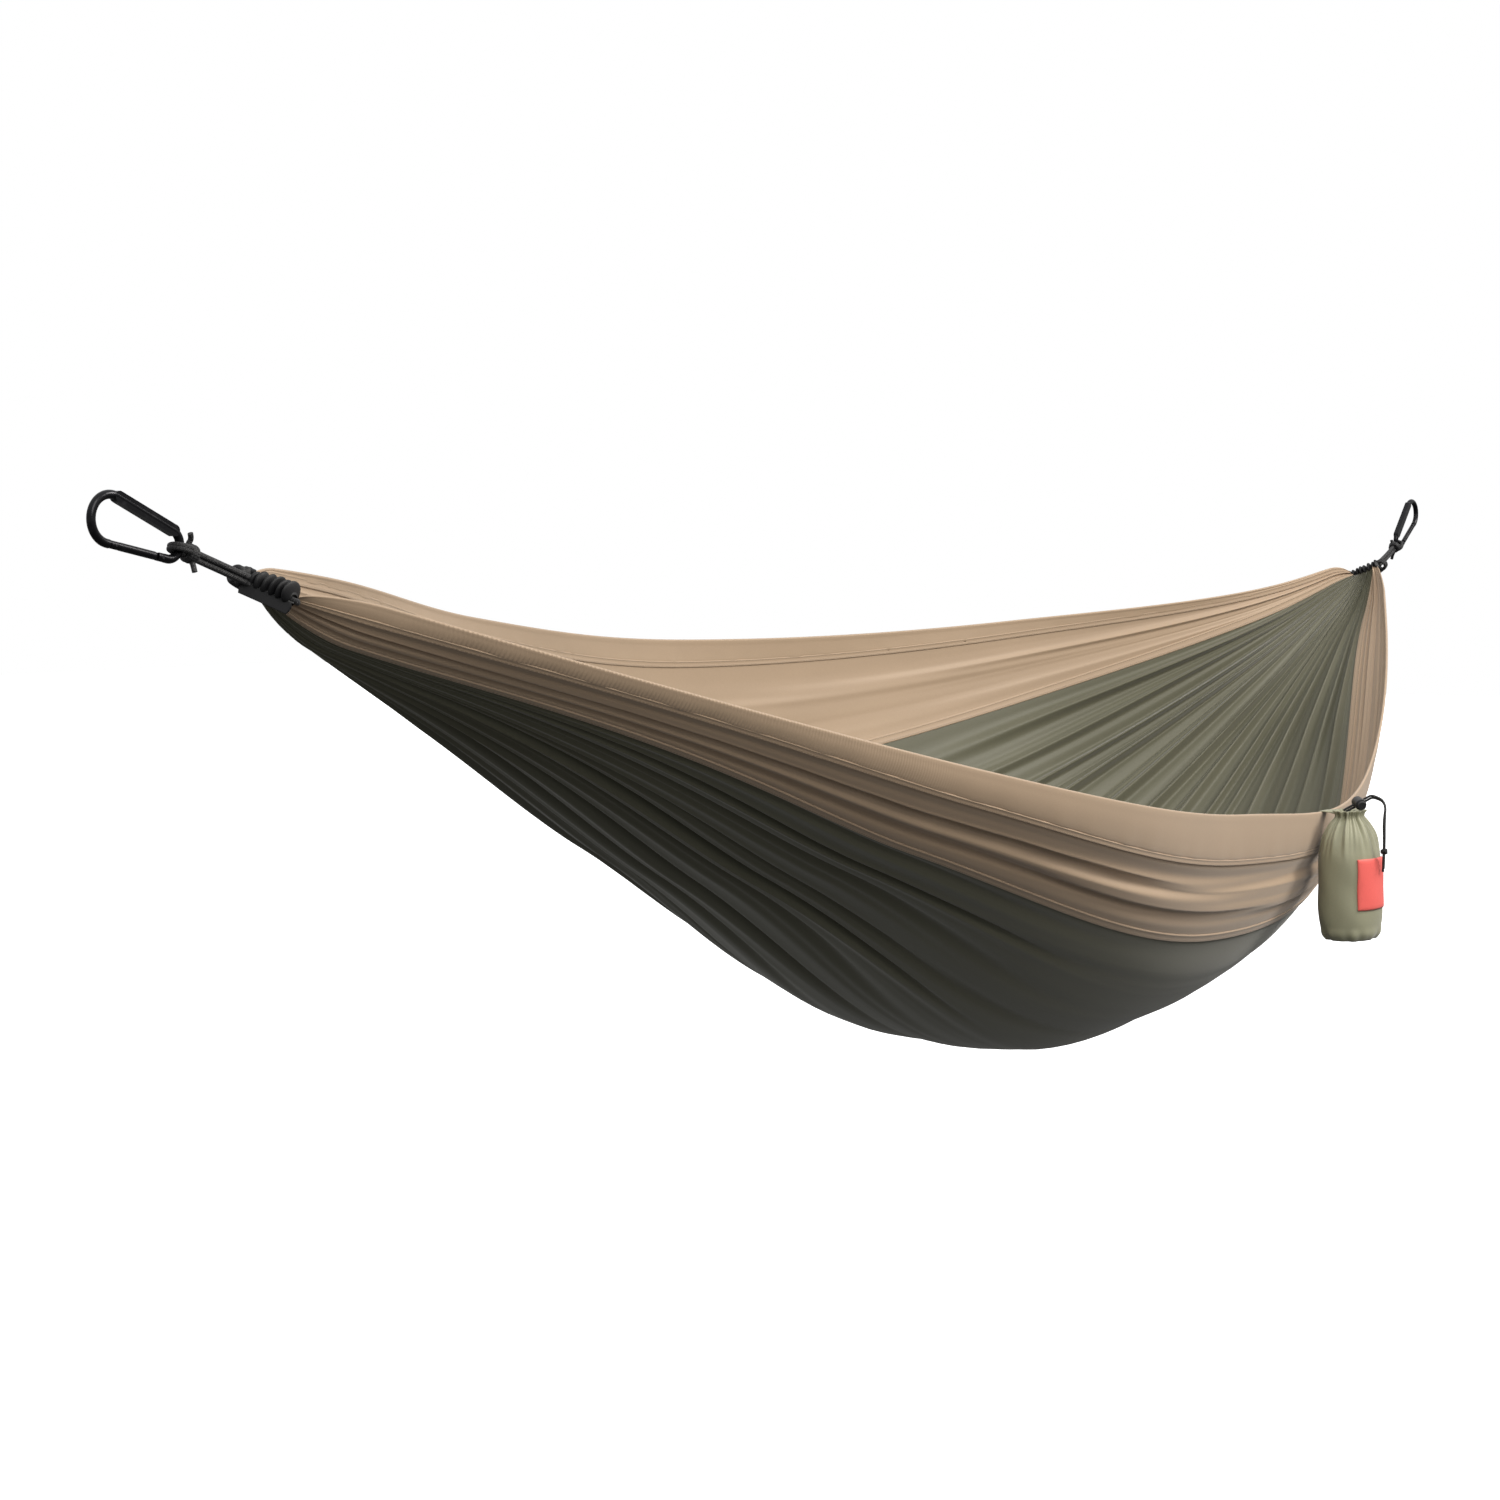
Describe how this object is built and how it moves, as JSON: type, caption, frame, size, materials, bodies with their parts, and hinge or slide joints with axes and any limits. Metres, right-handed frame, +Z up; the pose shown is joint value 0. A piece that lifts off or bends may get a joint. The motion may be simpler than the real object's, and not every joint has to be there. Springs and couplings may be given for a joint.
{
  "type": "camping hammock",
  "caption": "Gathered-end fabric camping hammock with contrasting side panels, hung from a carabiner at each end, with a drawcord stuff sack on one edge.",
  "frame": {"origin": "where a tree strap bears, inside the wide end of the head carabiner", "axes": "+X from the head anchor to the foot anchor, +Z up, -Y towards the edge that carries the stuff sack"},
  "size_m": [2.9763, 0.8927, 0.7347],
  "materials": {
    "nylon_tan": "plain-weave nylon, soft sheen",
    "nylon_olive": "plain-weave nylon, soft sheen",
    "sack_olive": "plain-weave nylon, soft sheen",
    "patch_red": "woven patch, satin",
    "cord_black": "braided polyester",
    "tape_black": "woven tape, matt",
    "anodised_black": "black anodised, satin",
    "steel": "bright steel",
    "plastic_black": "moulded acetal"
  },
  "bodies": {
    "head_carabiner": {"head_carabiner_body": "anodised_black", "head_hinge_pin": "steel"},
    "head_gate": {"head_gate": "anodised_black", "head_latch_pin": "steel", "head_plunger": "steel", "head_gate_spring": "steel"},
    "sling": {"near_hem": "nylon_tan", "near_side_panel": "nylon_tan", "far_side_panel": "nylon_tan", "far_hem": "nylon_tan", "centre_panel_near": "nylon_olive", "centre_panel_keel": "nylon_olive", "centre_panel_far": "nylon_olive", "head_suspension_cord": "cord_black", "head_carabiner_knot": "cord_black", "head_channel_knot": "cord_black", "head_end_channel": "tape_black", "foot_suspension_cord": "cord_black", "foot_carabiner_knot": "cord_black", "foot_channel_knot": "cord_black", "foot_end_channel": "tape_black"},
    "foot_carabiner": {"foot_carabiner_body": "anodised_black", "foot_hinge_pin": "steel"},
    "foot_gate": {"foot_gate": "anodised_black", "foot_latch_pin": "steel", "foot_plunger": "steel", "foot_gate_spring": "steel"},
    "sack": {"sack_body": "sack_olive", "sack_mouth": "sack_olive", "sack_flap": "sack_olive", "sack_patch": "patch_red", "drawcord_strand_a": "cord_black", "drawcord_strand_b": "cord_black", "drawcord_knot": "cord_black"},
    "cord_lock": {"lock_barrel": "plastic_black", "lock_spring": "steel"},
    "lock_button": {"lock_button": "plastic_black"}
  },
  "joints": [
    {"name": "swing", "type": "hinge", "parent": "head_carabiner", "child": "sling", "pos_m": [0.09156, 0, -0.02887], "axis": [1, 0, 0.0046], "range_deg": [-20, 20]},
    {"name": "foot_carabiner_turn", "type": "hinge", "parent": "sling", "child": "foot_carabiner", "pos_m": [2.882, 0, -0.016], "axis": [1, 0, 0.0046], "range_deg": [-20, 20]},
    {"name": "head_gate_open", "type": "hinge", "parent": "head_carabiner", "child": "head_gate", "pos_m": [0.07363, 0, -0.0376], "axis": [0, 1, 0], "range_deg": [0, 25], "stiffness_Nm_per_rad": 0.05, "springref_deg": -17.19},
    {"name": "foot_gate_open", "type": "hinge", "parent": "foot_carabiner", "child": "foot_gate", "pos_m": [2.9019, 0, -0.01721], "axis": [0, -1, 0], "range_deg": [0, 25], "stiffness_Nm_per_rad": 0.05, "springref_deg": -17.19},
    {"name": "sack_lift", "type": "hinge", "parent": "sling", "child": "sack", "pos_m": [1.7908, -0.343, -0.37126], "axis": [-1, 0, 0], "range_deg": [0, 50]},
    {"name": "lock_slide", "type": "slide", "parent": "sack", "child": "cord_lock", "axis": [0.5003, -0.7204, 0.4803], "range_m": [0, 0.005]},
    {"name": "button_press", "type": "slide", "parent": "cord_lock", "child": "lock_button", "axis": [0.7617, 0.6299, 0.1514], "range_m": [0, 0.004], "stiffness_N_per_m": 40, "springref_m": -0.004, "deforming": ["lock_spring"]}
  ],
  "couplings": [
    {"joint": "foot_carabiner_turn", "follows": "swing", "ratio": -1}
  ]
}
